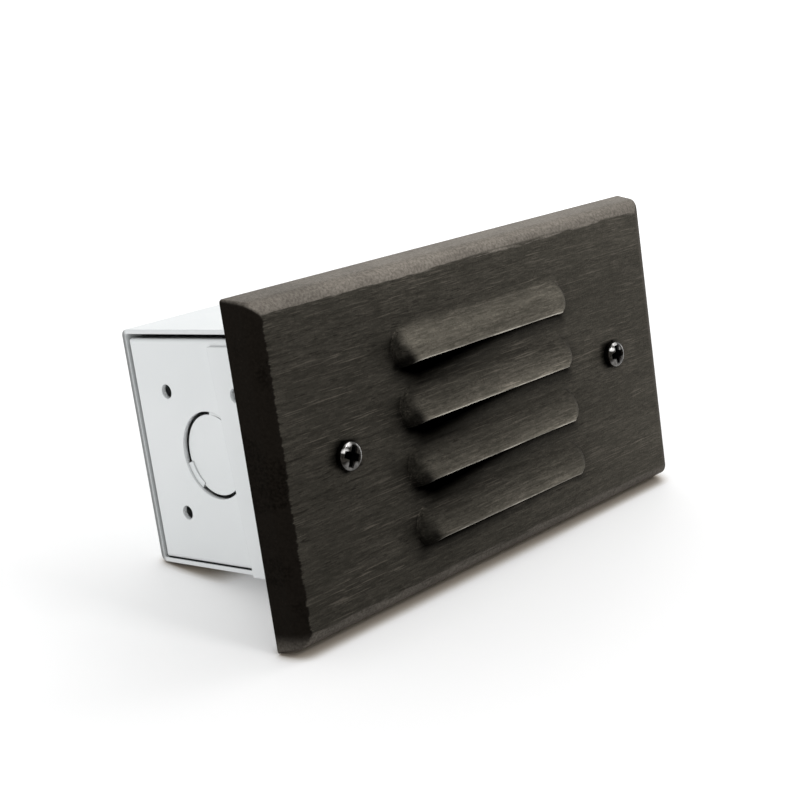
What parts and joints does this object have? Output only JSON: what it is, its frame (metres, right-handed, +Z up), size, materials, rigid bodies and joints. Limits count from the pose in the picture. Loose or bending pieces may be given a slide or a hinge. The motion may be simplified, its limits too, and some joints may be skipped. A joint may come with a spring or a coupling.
{
  "type": "step light",
  "caption": "Recessed wall step light with a louvred cast faceplate over a sheet steel box, with a capsule lamp in a ceramic socket behind a frosted glass lens.",
  "frame": {"origin": "middle of the faceplate's rear rim, in the plane of the wall", "axes": "+X to the right seen from the front, -Y out of the wall toward the viewer, +Y into the wall, +Z up"},
  "size_m": [0.1524, 0.0732, 0.0824],
  "materials": {
    "bronze": "brushed, dark bronze patina",
    "bronze_screw": "dark plated, bright",
    "white_paint": "white baked paint, satin",
    "zinc_steel": "zinc plated",
    "frosted_glass": "frosted",
    "clear_glass": "clear quartz",
    "gasket_rubber": "matt foam rubber",
    "ceramic": "unglazed steatite",
    "brass": "plain",
    "tungsten": "drawn wire",
    "lead_sleeve": "woven glass sleeve",
    "connector_plastic": "moulded"
  },
  "bodies": {
    "housing": {"box_wrap": "white_paint", "end_panel_left": "white_paint", "end_panel_right": "white_paint", "ear_bracket_left": "white_paint", "ear_bracket_right": "white_paint", "ear_rivets_left": "zinc_steel", "ear_rivets_right": "zinc_steel", "socket_bracket": "zinc_steel", "bracket_rivets": "zinc_steel", "lamp_socket": "ceramic", "socket_contacts": "brass", "socket_screws": "zinc_steel", "socket_nuts": "zinc_steel", "lead_a": "lead_sleeve", "lead_b": "lead_sleeve", "wire_connector_a": "connector_plastic", "wire_connector_b": "connector_plastic"},
    "cover": {"faceplate": "bronze", "glass_lens": "frosted_glass", "lens_gasket": "gasket_rubber", "lens_clip_left": "zinc_steel", "lens_clip_right": "zinc_steel", "lens_clip_screws": "zinc_steel"},
    "screw_left": {"faceplate_screw_left": "bronze_screw"},
    "screw_right": {"faceplate_screw_right": "bronze_screw"},
    "lamp": {"lamp_capsule": "clear_glass", "lamp_pins": "zinc_steel", "lamp_filament": "tungsten"}
  },
  "joints": [
    {"name": "cover_pull", "type": "slide", "parent": "housing", "child": "cover", "axis": [0, -1, 0], "range_m": [0, 0.06]},
    {"name": "screw_left_turn", "type": "hinge", "parent": "cover", "child": "screw_left", "pos_m": [-0.053, -0.008, 0], "axis": [0, -1, 0], "continuous": true},
    {"name": "screw_right_turn", "type": "hinge", "parent": "cover", "child": "screw_right", "pos_m": [0.053, -0.008, 0], "axis": [0, -1, 0], "continuous": true},
    {"name": "lamp_pull", "type": "slide", "parent": "housing", "child": "lamp", "axis": [1, 0, 0], "range_m": [0, 0.009]}
  ]
}
